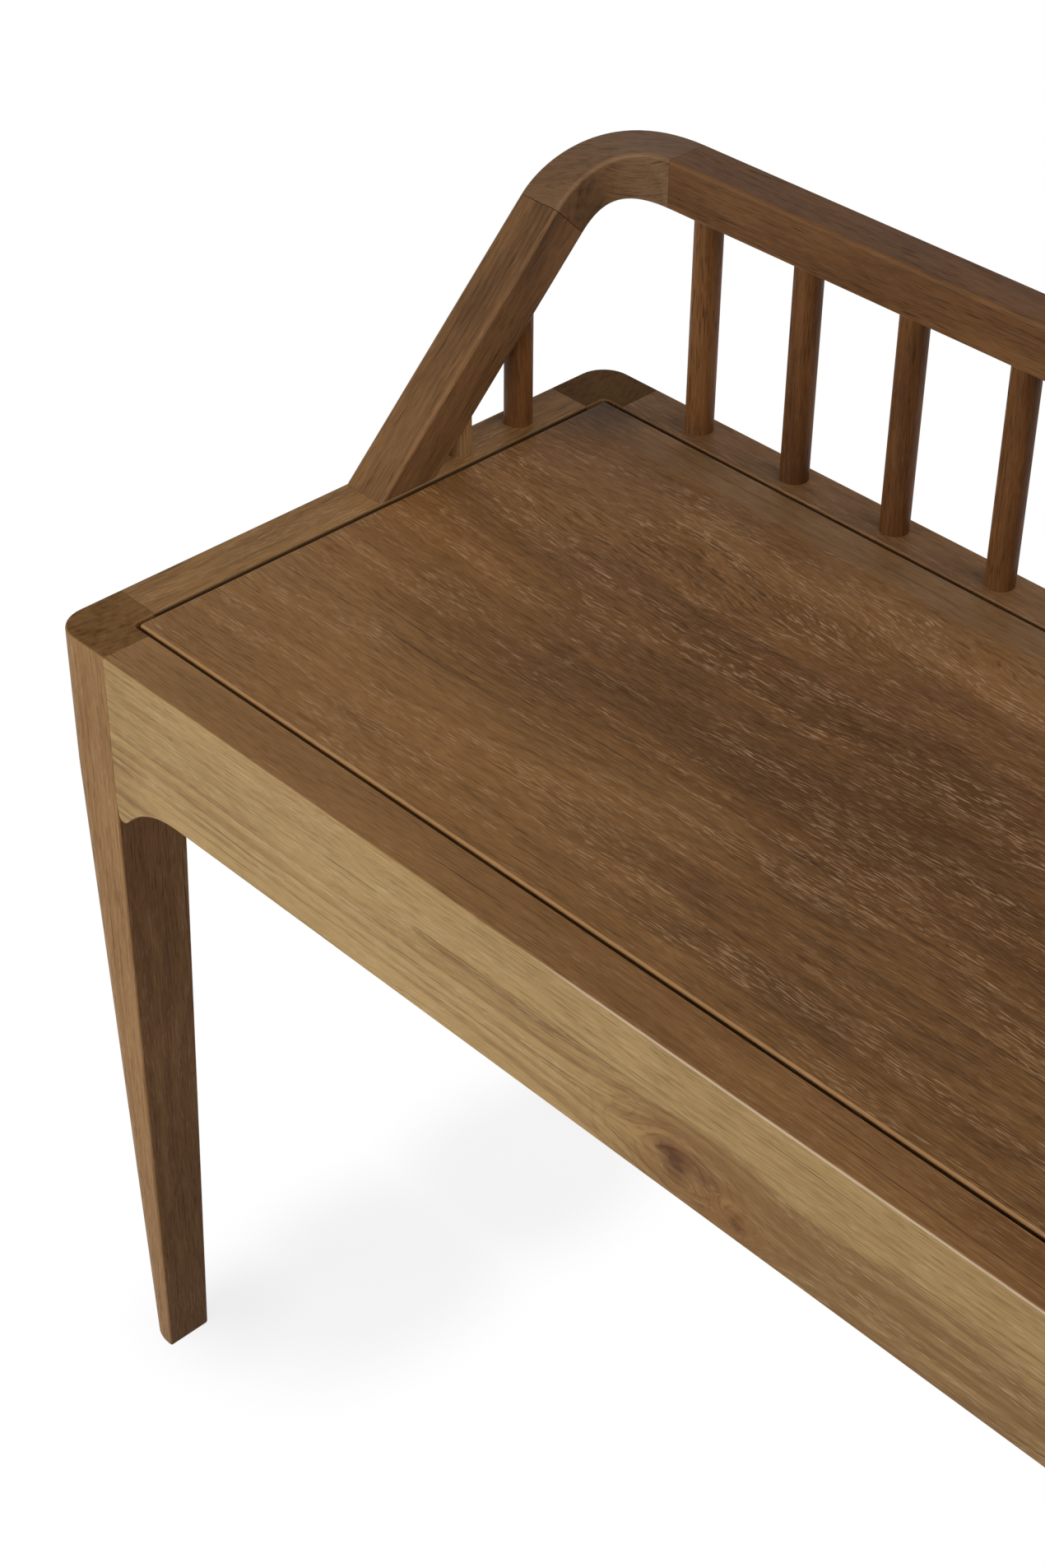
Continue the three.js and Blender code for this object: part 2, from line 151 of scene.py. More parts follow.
sharp_from = math.radians(40)
smooth_to = math.radians(50)


# Takes the sharp edges off: the open ones first, the fuller ones twice as far, and then only a hair
# off those along a glued joint. The loose ones stay sharp. The mark "worn" is one on an open arris,
# and "glued" is one along a joint. A bevel's own faces are told from the rest by their slot.
def ease_edges(piece, width, glued=None, loose=None, fuller=None, steps=3):
    mesh = piece.data
    low, high = ([end(p.co[i] for p in mesh.vertices) for i in range(3)] for end in (min, max))
    for mark, reach, segments in (("worn", width, steps), ("glued", glue_line, 1)):
        meeting = {}
        for face in mesh.polygons:
            for key in face.edge_keys:
                meeting.setdefault(key, []).append(face.normal.copy())
        weights = mesh.attributes.new("bevel_weight_edge", "FLOAT", "EDGE")
        for edge in mesh.edges:
            normals = meeting[edge.key]
            a, b = (mesh.vertices[i].co for i in edge.vertices)
            middle = (a + b) / 2
            sharp = len(normals) == 2 and normals[0].angle(normals[1]) > sharp_from
            kind = "glued" if glued and glued(middle) else "loose" if loose and loose(middle) else "worn"
            share = 1 if fuller and fuller(middle) else 0.5
            weights.data[edge.index].value = share if sharp and kind == mark else 0
        for _ in range(2):
            mesh.materials.append(None)
        apply_modifier(piece, "BEVEL", width=2 * reach, segments=segments, limit_method="WEIGHT",
                       material=1, use_clamp_overlap=False)
        mesh.attributes.remove(mesh.attributes["bevel_weight_edge"])
        beside = {}
        for face in mesh.polygons:
            for key in face.edge_keys:
                beside.setdefault(key, []).append(face)
        rim = {point for key, (one, other) in beside.items() if one.material_index != other.material_index
               and one.normal.angle(other.normal) < sharp_from for point in key}
        marks = mesh.attributes.new(mark, "FLOAT", "CORNER")
        for face in mesh.polygons:
            for corner in face.loop_indices:
                inside = mark == "glued" or mesh.loops[corner].vertex_index not in rim
                marks.data[corner].value = face.material_index == 1 and inside
            face.material_index = 0
        mesh.materials.clear()
    for point in mesh.vertices:
        point.co = [min(max(c, a), b) for c, a, b in zip(point.co, low, high)]
    pick(piece, "FACE", lambda m, n: True)
    bpy.ops.mesh.dissolve_degenerate(threshold=close)
    work_on(piece)
    bpy.ops.object.shade_smooth_by_angle(angle=smooth_to)
    # Where a rounded edge runs out into a sharp one, the shading of the flat faces stays flat.
    tips = {i for edge in mesh.edges if edge.use_edge_sharp for i in edge.vertices}
    for edge in mesh.edges:
        a, b = (mesh.vertices[i].co for i in edge.vertices)
        if (a - b).length < 2 * width and not tips.isdisjoint(edge.vertices):
            edge.use_edge_sharp = True
    apply_modifier(piece, "WEIGHTED_NORMAL", keep_sharp=True, weight=90)


# One value of a finish that changes over the wood, such as how dark the grain is at a point.
class Tone:
    def __init__(self, nodes, socket):
        self.nodes, self.socket = nodes, socket

    def node(self, kind, settings=None, inputs=None, output=0):
        made = self.nodes.nodes.new(kind)
        for key, value in (settings or {}).items():
            if key == "stops":
                ramp = made.color_ramp.elements
                while len(ramp) < len(value):
                    ramp.new(0.5)
                for stop, (place, color) in zip(ramp, value):
                    stop.position, stop.color = place, (*color, 1)
            else:
                setattr(made, key, value)
        for key, value in (inputs or {}).items():
            if isinstance(value, Tone):
                self.nodes.links.new(value.socket, made.inputs[key])
            else:
                made.inputs[key].default_value = value
        return Tone(self.nodes, made.outputs[output] if made.outputs else None)

    def maths(self, operation, *values):
        return self.node("ShaderNodeMath", {"operation": operation}, dict(enumerate(values)))

    def __add__(self, other):
        return self.maths("ADD", self, other)

    def __radd__(self, other):
        return self.maths("ADD", other, self)

    def __sub__(self, other):
        return self.maths("SUBTRACT", self, other)

    def __rsub__(self, other):
        return self.maths("SUBTRACT", other, self)

    def __mul__(self, other):
        return self.maths("MULTIPLY", self, other)

    def __rmul__(self, other):
        return self.maths("MULTIPLY", other, self)

    def __truediv__(self, other):
        return self.maths("DIVIDE", self, other)

    def between(self, low, high):
        settings = {"interpolation_type": "SMOOTHSTEP"}
        return self.node("ShaderNodeMapRange", settings, {0: self, 1: low, 2: high})

    def noise(self, place, detail=2.0, roughness=0.5, scale=1.0):
        inputs = {"Vector": place, "Scale": scale, "Detail": detail, "Roughness": roughness}
        return self.node("ShaderNodeTexNoise", None, inputs)

    def at(self, x, y, z):
        return self.node("ShaderNodeCombineXYZ", None, {0: x, 1: y, 2: z})

    def mix(self, amount, first, second):
        inputs = {0: amount, 6: first, 7: second}
        return self.node("ShaderNodeMix", {"data_type": "RGBA"}, inputs, 2)


def from_srgb(red, green, blue):
    return tuple(((c / 255 + 0.055) / 1.055) ** 2.4 for c in (red, green, blue))


knot_brown, round_knot = from_srgb(76, 43, 17), from_srgb(118, 78, 36)
# The dark brown of painted shade, laid in grooves and corners where shade falls.
painted_shade_brown = from_srgb(34, 20, 12)
gleam_color = from_srgb(208, 187, 168)


# Oiled hardwood. Growth rings lie round a heart that runs along the piece, a little askew, and
# the fibres, the dark pores and the pale hairs follow them. The grain bulges past a knot, and one
# with no strength only swells the grain. A zone is darker or paler wood, and on some pieces painted
# shade; a shade is painted shade, a dark brown laid where shade falls; and a gleam is light on a
# worn edge. The worn edges are paler for wear and as a painted highlight, and a top tint paints
# the faces that look up darker and warmer, as painted shade. Each noise is stretched along the
# grain: the numbers that multiply run, side and rise are how often it repeats in a metre.
def hardwood(name, along, colors, heart=(0.09, 0.05), askew=0.02, ring=0.0045, rings=0.12, fibre=0.9,
             cloud=1.0, pores=0.45, hairs=0.3, curl=0.3, knots=(), flat=False, zone=None, sheen=0.5,
             wear_and_highlight=0.12, ends_from=0.75, ends_dark=0.3, joint=0.3, painted_top_shade=None, gleam=None, shade=None):
    material = bpy.data.materials.new(name)
    material.use_nodes = True
    tree = material.node_tree
    tree.nodes.clear()
    wood = Tone(tree, None)
    place = wood.node("ShaderNodeTexCoord", None, None, "Object")
    place = wood.node("ShaderNodeMapping", None, {0: place})
    x, y, z = (wood.node("ShaderNodeSeparateXYZ", None, {0: place}, axis) for axis in "XYZ")
    run, side, rise = {"X": (x, y, z), "Y": (y, x, z), "Z": (z, x, y)}[along]

    drift = wood.noise(wood.at(run * 3, side * 9, rise * 9), 1.0)
    sway = wood.noise(wood.at(run * 11, side * 30, rise * 30))
    ripple = wood.noise(wood.at(run * 70, side * 110, rise * 110), 1.0)
    side_there = side + (drift - 0.5) * 0.03 + (sway - 0.5) * (0.012 * curl)
    rise_there = rise + (sway - 0.5) * (0.002 + 0.002 * curl)
    core, halo, side_line = None, None, side
    for along_at, across_at, reach, breadth, strength in knots:
        along_knot = (run - along_at) * (breadth / reach)
        across_knot = (side if flat else rise) - across_at
        apart = along_knot * along_knot + across_knot * across_knot
        firmness = 0.7 if strength else 1.6
        bulge = across_knot * (breadth ** 2) / (apart + firmness * breadth ** 2)
        if flat:
            side_there, side_line = side_there - bulge, side_line - bulge
        else:
            rise_there = rise_there - bulge
        if strength == 0:
            continue
        spot = wood.maths("EXPONENT", apart * (-6 / breadth ** 2) + (ripple - 0.5) * 3.5)
        arcs = wood.maths("FRACT", wood.maths("SQRT", apart) * 230 + drift * 4 + sway * 4 + ripple * 1.5)
        arcs = arcs.between(0.45, 0.8) * arcs.between(1.0, 0.85) * ripple.between(0.35, 0.6)
        arcs = arcs * wood.maths("EXPONENT", apart * (-0.5 / breadth ** 2))
        spot = (spot + arcs * 0.5) * strength
        core = spot if core is None else core + spot
        glow = wood.maths("EXPONENT", apart * (-0.7 / breadth ** 2)) * (0.5 * strength)
        halo = glow if halo is None else halo + glow
    from_heart = side_there + run * askew - heart[0]
    over_heart = rise_there - heart[1]
    radius = wood.maths("SQRT", from_heart * from_heart + over_heart * over_heart)
    wander = wood.noise(wood.at(radius * 50, run * 0.6, 0.0), 1.0)
    turn = wood.maths("FRACT", radius / ring + drift * 1.5 + wander * 3.0)
    ring_tone = turn.between(0.2, 0.9) * turn.between(1.0, 0.93)

    # The fibres lie in thin sheets, which count across the grain on every face of the piece.
    waver = (drift - 0.5) * 0.014 + (sway - 0.5) * (0.0025 * curl) + (ripple - 0.5) * (0.0006 * curl)
    sheet = side_line + rise_there + waver
    layer = side - rise
    fine = wood.noise(wood.at(run * 26, sheet * 2600, layer * 80), 2.0, 0.75)
    coarse = wood.noise(wood.at(run * 5, radius * 620, layer * 25), 3.0, 0.75)
    clouds = wood.noise(wood.at(run * 4, side * 17, rise * 17))
    blotches = wood.noise(wood.at(run * 17, side * 55 + 7, rise * 55))
    mottle = wood.noise(wood.at(run * 90, side * 260, rise * 260))
    dashes = wood.noise(wood.at(run * 70, sheet * 1900, layer * 200), 1.0, 0.8)
    strands = wood.noise(wood.at(run * 110 + 3, sheet * 2200 + 5, layer * 300), 1.0, 0.8)
    bunches = wood.noise(wood.at(run * 15 + 5, side_there * 110, rise_there * 110))
    checks = wood.noise(wood.at(run * 9, sheet * 1100 + 3, layer * 40), 0.0).between(0.76, 0.8)
    pore = dashes.between(0.55, 0.64) * (0.4 + 0.6 * bunches.between(0.62, 0.42))
    hair = strands.between(0.56, 0.63) * (0.3 + 0.7 * bunches.between(0.45, 0.6))

    depth = (0.5 + (ring_tone - 0.3) * rings + (fine - 0.5) * fibre + (coarse - 0.5) * (fibre * 0.45)
             + (clouds - 0.5) * cloud + (blotches - 0.5) * (cloud * 0.5) + (mottle - 0.5) * 0.3)
    if zone is not None:
        depth = depth + zone(run, side, rise)
    stops = list(zip((0.0, 0.5, 1.0), (from_srgb(*c) for c in colors)))
    color = wood.node("ShaderNodeValToRGB", {"stops": stops}, {0: depth})
    end_streaks = wood.noise(wood.at(layer * 60 + sway * 3, side * 330 + drift * 6, 3.0), 3.0, 0.7)
    ends_depth = (0.35 + (ring_tone - 0.3) * 0.15 + (end_streaks - 0.5) * 1.6 + (clouds - 0.5) * 1.2
                  + (blotches - 0.5) * 0.8 + (mottle - 0.5) * 1.2)
    end_color = wood.node("ShaderNodeValToRGB", {"stops": stops}, {0: ends_depth})
    dark = from_srgb(*(c * 0.5 for c in colors[2]))
    pale = from_srgb(*(c * 1.1 + 30 for c in colors[0]))
    fair = from_srgb(*(c * 0.85 + 72 for c in colors[0]))
    color = wood.mix(pore * pores, color, (*dark, 1))
    color = wood.mix(checks * 0.6, color, (*dark, 1))
    color = wood.mix(hair * hairs, color, (*fair, 1))
    if core is not None:
        color = wood.mix(halo, color, (*round_knot, 1))
        color = wood.mix(core, color, (*knot_brown, 1))

    facing = wood.node("ShaderNodeNewGeometry", None, None, "Normal")
    toward_end = wood.node("ShaderNodeSeparateXYZ", None, {0: facing}, along)
    end_grain = wood.maths("ABSOLUTE", toward_end).between(ends_from, 0.9)
    color = wood.mix(end_grain, color, end_color)
    color = wood.mix(end_grain * ends_dark, color, (*dark, 1))
    # Painted shade: the faces that look up are tinted darker and warmer, for the light on them.
    if painted_top_shade is not None:
        upper = wood.node("ShaderNodeSeparateXYZ", None, {0: facing}, "Z").between(0.6, 0.95)
        color = wood.node("ShaderNodeMix", {"data_type": "RGBA", "blend_type": "MULTIPLY"},
                          {0: upper, 6: color, 7: (*painted_top_shade, 1)}, 2)
    # Painted shade: a dark brown is laid over the wood where shade falls.
    if shade is not None:
        color = wood.mix(shade(run, side, rise), color, (*painted_shade_brown, 1))
    worn = wood.node("ShaderNodeAttribute", {"attribute_name": "worn"}, None, "Fac")
    # The worn edges are paler: wear, and a painted highlight where the light catches them.
    color = wood.mix(worn * wear_and_highlight, color, (*pale, 1))
    if gleam is not None:
        color = wood.mix(worn.between(0.5, 1.0) * gleam(run, side, rise), color, (*gleam_color, 1))
    glued = wood.node("ShaderNodeAttribute", {"attribute_name": "glued"}, None, "Fac")
    color = wood.mix(glued * joint, color, (*(c * 0.35 for c in dark), 1))

    polish = sheen + (fine - 0.5) * 0.2 + pore * 0.2 + end_grain * 0.3 - worn * 0.08
    relief = hair * 0.6 - pore
    bump = wood.node("ShaderNodeBump", None, {"Strength": 0.2, "Distance": 0.0003, "Height": relief})
    finish = wood.node("ShaderNodeBsdfPrincipled", None, {
        "Base Color": color, "Roughness": polish, "Normal": bump, "Specular IOR Level": 0.12})
    wood.node("ShaderNodeOutputMaterial", None, {"Surface": finish})
    return material


# Gives a piece its finish, and says what it rides on and which solids it stands for.
def hand_over(piece, material, slot, *nodes):
    piece.data.materials.append(material)
    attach(piece, "root")
    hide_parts(*nodes)


leg = block("leg", (-bench_end, -bench_front, 0), (-joint_x, -joint_y, seat_top))
for height in (bracket_tip, outer_taper_from, rear_taper_from):
    saw(leg, (0, 0, height), (0, 0, 1))
outer_run = leg_side - foot_width
for height, outer, rear in (
        (rear_taper_from, outer_run * (outer_taper_from - rear_taper_from) / outer_taper_from, 0),
        (bracket_tip, outer_run * (outer_taper_from - bracket_tip) / outer_taper_from, 0),
        (0, outer_run, leg_side - foot_depth)):
    pick(leg, "VERT", lambda p: abs(p.z - height) < close and p.x < -bench_end + close)
    bpy.ops.transform.translate(value=(outer, 0, 0))
    pick(leg, "VERT", lambda p: abs(p.z - height) < close and p.y > -joint_y - close)
    bpy.ops.transform.translate(value=(0, -rear, 0))
pick(leg, "EDGE", lambda m, way: abs(way.z) > mostly and m.y < -bench_front + close
     and m.x < -joint_x - close)
bpy.ops.mesh.bevel(offset=leg_corner, segments=10, affect="EDGES")
bpy.ops.object.mode_set(mode="OBJECT")
inner_x, inner_y = bench_end - rail_thickness, bench_front - rail_thickness
notch = block("notch", (-inner_x, -inner_y, seat_top - seat_thickness),
              (-joint_x + clear, -joint_y + clear, seat_top + clear))
pick(notch, "EDGE", lambda m, way: abs(way.z) > mostly and m.y < -inner_y + close
     and m.x < -inner_x + close)
bpy.ops.mesh.bevel(offset=notch_round, segments=6, affect="EDGES")
bpy.ops.object.mode_set(mode="OBJECT")
cut_away(leg, notch)


# The leg's edges beside a rail: those over the joint are glued, and those in it stay sharp.
def beside_rail(m):
    along_y = abs(abs(m.x) - joint_x) < close and abs(m.y) > inner_y - close
    along_x = abs(abs(m.y) - joint_y) < close and abs(m.x) > inner_x - close
    return along_y or along_x


def over_joint(m):
    return m.z > seat_top - close and beside_rail(m)


def in_joint(m):
    in_notch = abs(m.x) < inner_x + close and abs(m.y) < inner_y + close
    return bracket_tip < m.z < seat_top - close and (beside_rail(m) or in_notch)


# Every wood has a light, a middle and a dark colour, and its grain and clouds lie between them.
leg_colors = ((151, 112, 70), (130, 94, 55), (98, 63, 29))
back_leg_colors = ((140, 101, 60), (118, 82, 46), (88, 58, 30))


# Painted shade: the face of a leg that looks along the bench is darker below the brackets.
def painted_leg_inner_shade(run, side, rise):
    inside = side.maths("ABSOLUTE", side).between(joint_x + 0.0014, joint_x + 0.0004)
    return inside * run.between(bracket_tip + 0.004, bracket_tip - 0.004) * 0.45


leg_look = dict(heart=(-1.1, -0.05), askew=0.01, ring=0.003, rings=0.15, cloud=0.8, hairs=0.15, joint=0.1,
                zone=painted_leg_inner_shade)
# The back legs' wood is darker, with darker tops: darker end grain, and painted shade under the arms and
# back.
leg_woods = {
    "front": hardwood("oiled front leg wood", "Z", leg_colors, ends_dark=0.16, **leg_look),
    "back": hardwood("oiled back leg wood", "Z", back_leg_colors, ends_dark=0.58, **leg_look),
}
for end, side_x in (("left", 1), ("right", -1)):
    for row, side_y in (("front", 1), ("back", -1)):
        one = copy_of(leg, f"oiled_leg_{row}_{end}", (side_x, side_y, 1))
        ease_edges(one, arris, glued=over_joint, loose=in_joint, fuller=lambda m: m.z < close)
        hand_over(one, leg_woods[row], "frame_wood", f"leg_{row}_{end}")
bpy.data.objects.remove(leg)


# Front apron: two lengths glued edge to edge, a straight-grained strip over a board of swirling
# grain with a knot, tenoned into the legs. The board runs down into a small bracket at each leg: a
# cove with a round nose.
strip_bottom = seat_top - 0.027
rail_bottom = seat_top - 0.071
cove = 0.05
nose = 0.0035
bracket_drop = rail_bottom - bracket_tip
cove_start = math.sqrt((2 * (cove + nose) - bracket_drop) * bracket_drop) + nose
nose_turn = math.asin((cove_start - nose) / (cove + nose))
curve_step = 0.0002


# A rail along X from the middle, with its outer face at Y zero, then mirrored to full length. Points
# of its curve nearer than curve_step are one.
def bracket_rail(name, half, top):
    rail = block(name, (0, 0, rail_bottom), (half, rail_thickness, top))
    saw(rail, (half - cove_start, 0, 0), (1, 0, 0))
    pick(rail, "FACE", lambda m, n: n.z < -mostly and m.x > half - cove_start)
    bpy.ops.mesh.extrude_region_move(TRANSFORM_OT_translate={"value": (0, 0, -bracket_drop)})
    bpy.ops.object.mode_set(mode="OBJECT")
    bpy.ops.object.select_all(action="DESELECT")
    bpy.ops.mesh.primitive_cylinder_add(vertices=90, radius=cove, depth=3 * rail_thickness,
                                        location=(half - cove_start, 0, rail_bottom - cove),
                                        rotation=(math.pi / 2, 0, 0))
    cut_away(rail, bpy.context.object)
    pick(rail, "FACE", lambda m, n: True)
    bpy.ops.mesh.remove_doubles(threshold=curve_step)

    def under_tip(m, way):
        return abs(way.y) > mostly and m.z < bracket_tip + close

    pick(rail, "EDGE", lambda m, way: under_tip(m, way) and m.x > half - close)
    bpy.ops.mesh.bevel(offset=nose, segments=6, affect="EDGES")
    pick(rail, "EDGE", lambda m, way: under_tip(m, way) and m.x < half - nose - curve_step)
    bpy.ops.mesh.bevel(offset=nose * math.tan(nose_turn / 2), segments=3, affect="EDGES")
    pick(rail, "FACE", lambda m, n: m.x < close and n.x < -mostly)
    bpy.ops.mesh.delete(type="FACE")
    bpy.ops.object.mode_set(mode="OBJECT")
    apply_modifier(rail, "MIRROR", use_clip=True)
    pick(rail, "FACE", lambda m, n: True)
    bpy.ops.mesh.remove_doubles(threshold=curve_step)
    bpy.ops.mesh.dissolve_limited(angle_limit=math.radians(0.5))
    bpy.ops.mesh.normals_make_consistent(inside=False)
    bpy.ops.object.mode_set(mode="OBJECT")
    return rail


strip = block("oiled_apron_strip", (-joint_x, -bench_front, strip_bottom), (joint_x, -inner_y, seat_top))
ease_edges(strip, arris, glued=lambda m: abs(m.x) > joint_x - close or m.z < strip_bottom + close)
apron = bracket_rail("oiled_apron_board", joint_x, strip_bottom)
apron.data.transform(Matrix.Translation((0, -bench_front, 0)))
ease_edges(apron, arris, glued=lambda m: abs(m.x) > joint_x - close or m.z > strip_bottom - close)

apron_colors = ((163, 133, 87), (145, 115, 72), (110, 79, 44))


# The apron board has a darker streak over the knot and darkens past it toward the middle, and its
# left bracket is darker near the leg, as painted shade.
knot_at, knot_up = -0.2255, 0.3974


def board_zones(run, side, rise):
    past = run.between(knot_at - 0.04, knot_at + 0.012) * run.between(0.25, -0.02)
    past = past * rise.between(strip_bottom + 0.001, strip_bottom - 0.014)
    over = run.between(-0.45, -0.37) * run.between(-0.17, -0.21)
    over = over * rise.between(0.407, 0.416) * rise.between(0.428, 0.420)
    # Painted shade in the bracket beside the leg.
    bracket = run.between(-0.545, -0.575) * rise.between(0.412, 0.39)
    return past * 0.42 + over * 0.25 + bracket * 0.2


# The top of the strip starts paler and darkens along the bench.
def strip_zones(run, side, rise):
    on_top = side.between(-bench_front + 0.0005, -bench_front + 0.002)
    darker = run.between(-0.45, -0.25) * 0.2
    paler = run.between(-0.53, -0.575) * 0.35
    return on_top * (darker - paler) + run.between(-0.15, -0.06) * 0.1


# The strip's upper edge catches the light along the middle of the bench.
def strip_gleam(run, side, rise):
    return run.between(-0.32, -0.27) * run.between(0.3, 0.1) * side.between(-0.165, -0.17) * 0.5


# Each knot is its place along and across, its half length and half breadth, and its strength.
apron_knots = ((knot_at, knot_up, 0.032, 0.018, 0.85),
               (knot_at + 0.03, knot_up - 0.01, 0.014, 0.008, 0.6))
# The strip's top is painted darker and redder than its front, as painted shade.
strip_wood = hardwood("oiled apron strip wood", "X", apron_colors, heart=(-0.2, 0.1), askew=0.004,
                      ring=0.0035, cloud=0.5, pores=0.38, hairs=0.2, joint=0.12, zone=strip_zones,
                      painted_top_shade=(0.94, 0.78, 0.72), gleam=strip_gleam)
apron_wood = hardwood("oiled apron board wood", "X", apron_colors, heart=(-0.19, 0.42), askew=0.03,
                      ring=0.0075, rings=0.3, cloud=0.6, pores=0.25, hairs=0.2, curl=0.8, joint=0.12,
                      zone=board_zones, knots=apron_knots)
hand_over(strip, strip_wood, "apron_wood", "apron_strip")
hand_over(apron, apron_wood, "apron_wood", "apron_board")


# Back rail and side rails: one length of hardwood each, as deep as the glued-up apron and with the
# same brackets, tenoned between the legs. The spindles and the arms stand in their top edges.
rail_colors = ((156, 115, 75), (135, 97, 61), (101, 70, 43))
side_colors = ((180, 138, 88), (159, 118, 71), (112, 78, 44))


# The side rails darken toward the back, and the back rail toward its left end: partly a stain, and
# partly painted shade under the arm and the back.
def darker_at_back(run, side, rise):
    return run.between(-0.02, 0.13) * 0.35


def darker_at_leg(run, side, rise):
    return run.between(-0.46, -0.57) * 0.25


# Painted shade: the side rails' inner faces are darker in the groove beside the seat.
def painted_groove_shade(run, side, rise):
    inner_face = side.maths("ABSOLUTE", side).between(inner_x + 0.0008, inner_x + 0.0002)
    return inner_face * rise.between(seat_top - 0.02, seat_top - 0.01) * 0.8


side_wood = hardwood("oiled side rail wood", "Y", side_colors, heart=(-0.52, 0.3), askew=0.01, curl=1.5,
                     joint=0.1, zone=darker_at_back, shade=painted_groove_shade)
rail_wood = hardwood("oiled rail wood", "X", rail_colors, heart=(0.25, 0.3), askew=0.01, joint=0.1,
                     zone=darker_at_leg)
back = bracket_rail("oiled_back_rail", joint_x, seat_top)
back.data.transform(Matrix.Translation((0, bench_front, 0)) @ Matrix.Rotation(math.pi, 4, "Z"))
ease_edges(back, arris, glued=lambda m: abs(m.x) > joint_x - close)
hand_over(back, rail_wood, "frame_wood", "back_rail")
side = bracket_rail("side", joint_y, seat_top)
for end, turn, place in (("left", -math.pi / 2, -bench_end), ("right", math.pi / 2, bench_end)):
    one = copy_of(side, f"oiled_side_rail_{end}")
    one.data.transform(Matrix.Translation((place, 0, 0)) @ Matrix.Rotation(turn, 4, "Z"))
    ease_edges(one, arris, glued=lambda m: abs(m.y) > joint_y - close)
    hand_over(one, side_wood, "frame_wood", f"side_rail_{end}")
bpy.data.objects.remove(side)


# Under the seat: corner blocks glued round the legs, a notched cleat along each long rail, and
# three battens that lie in the notches. All are planed, square and left without oil.
plain_colors = ((176, 146, 104), (150, 120, 82), (120, 90, 58))
plain_wood = hardwood("planed wood under the seat", "X", plain_colors, heart=(0.3, 0.2), sheen=0.75)
plain_cross = hardwood("planed wood across the seat", "Y", plain_colors, heart=(0.3, 0.2), sheen=0.75)
plain_round = 0.0008
low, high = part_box("batten_1")
batten = block("batten", low, high)
ease_edges(batten, plain_round, steps=2)
for k in (1, 2, 3):
    one = copy_of(batten, f"planed_batten_{k}", move=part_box(f"batten_{k}")[0] - low)
    hand_over(one, plain_cross, "hidden_wood", f"batten_{k}")
bpy.data.objects.remove(batten)
low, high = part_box("cleat_front")
cleat = block("cleat", low, high)
notch_gap = 0.0003
for k in (1, 2, 3):
    a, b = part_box(f"batten_{k}")
    cut_away(cleat, block("notch", (a.x - notch_gap, low.y - clear, a.z),
                          (b.x + notch_gap, high.y + clear, high.z + clear)))
ease_edges(cleat, plain_round, steps=2)
for row, side_y in (("front", 1), ("back", -1)):
    one = copy_of(cleat, f"planed_cleat_{row}", (1, side_y, 1))
    hand_over(one, plain_wood, "hidden_wood", f"cleat_{row}")
bpy.data.objects.remove(cleat)
corner_end = 0.008
low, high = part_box("corner_block_front_left")
corner = block("corner", low, high)
sawn_x, sawn_y = high.x - low.x - corner_end, high.y - low.y - corner_end
saw(corner, (high.x, -inner_y + corner_end, 0), (sawn_y, sawn_x, 0), drop_far=True)
cut_away(corner, block("leg room", (-bench_end, -bench_front, low.z - clear),
                       (-joint_x, -joint_y, high.z + clear)))
ease_edges(corner, plain_round, steps=2)
for end, side_x in (("left", 1), ("right", -1)):
    for row, side_y in (("front", 1), ("back", -1)):
        one = copy_of(corner, f"planed_corner_block_{row}_{end}", (side_x, side_y, 1))
        hand_over(one, plain_wood, "hidden_wood", f"corner_block_{row}_{end}")
bpy.data.objects.remove(corner)


# Seat: four hardwood boards glued edge to edge and laid flush in the frame with a narrow open
# groove all round, screwed from below. Its outer edges are rounded over. The back board is a
# narrow, greyer strip.
seat_colors = {
    1: ((155, 117, 78), (137, 101, 65), (98, 68, 40)),
    2: ((159, 115, 69), (133, 92, 52), (95, 61, 31)),
    3: ((153, 108, 62), (129, 89, 49), (92, 60, 29)),
    4: ((162, 118, 70), (138, 98, 56), (98, 66, 35)),
}
swells_2 = ((-0.45, 0.07, 0.08, 0.028, 0), (-0.3, 0.115, 0.07, 0.024, 0), (0.18, 0.06, 0.09, 0.03, 0))
swells_3 = ((-0.39, 0.03, 0.08, 0.024, 0), (0.35, -0.02, 0.09, 0.028, 0))
seat_looks = {
    1: dict(heart=(0.3, 0.7), askew=0.003, ring=0.003, cloud=0.6, hairs=0.2, wear_and_highlight=0.1),
    2: dict(heart=(0.11, 0.405), askew=0.03, ring=0.005, hairs=0.6, curl=1.3, flat=True, knots=swells_2),
    3: dict(heart=(-0.02, 0.39), askew=0.02, ring=0.0055, hairs=0.55, curl=1.0, flat=True, knots=swells_3),
    # The front board's worn edges are much paler: wear, and a painted highlight along its front.
    4: dict(heart=(-0.12, 0.40), askew=-0.02, ring=0.005, hairs=0.45, curl=0.6, wear_and_highlight=0.5),
}


# A darker band runs along the middle of the seat, darkest along one streak, and reaches the front
# further in. The left end is paler, but the back corner under the arm is darker, as painted shade.
def seat_zones(run, side, rise):
    band = side.between(-0.10, -0.03) * side.between(0.095, 0.072)
    streak = side.between(0.008, 0.028) * side.between(0.055, 0.038)
    further = run.between(-0.57, -0.42)
    front = side.between(-0.03, -0.10)
    back = side.between(0.08, 0.1) * run.between(-0.54, -0.48)
    back_corner_shade = run.between(-0.54, -0.59) * side.between(0.10, 0.14)
    left_end = run.between(-0.48, -0.56) * side.between(0.0, -0.03) * side.between(-0.09, -0.06)
    return (band * (0.4 * further - 0.08) + streak * 0.2 + front * (run.between(-0.42, -0.2) * 0.46 - 0.08)
            - back * 0.16 + back_corner_shade * 0.6 - left_end * 0.18)


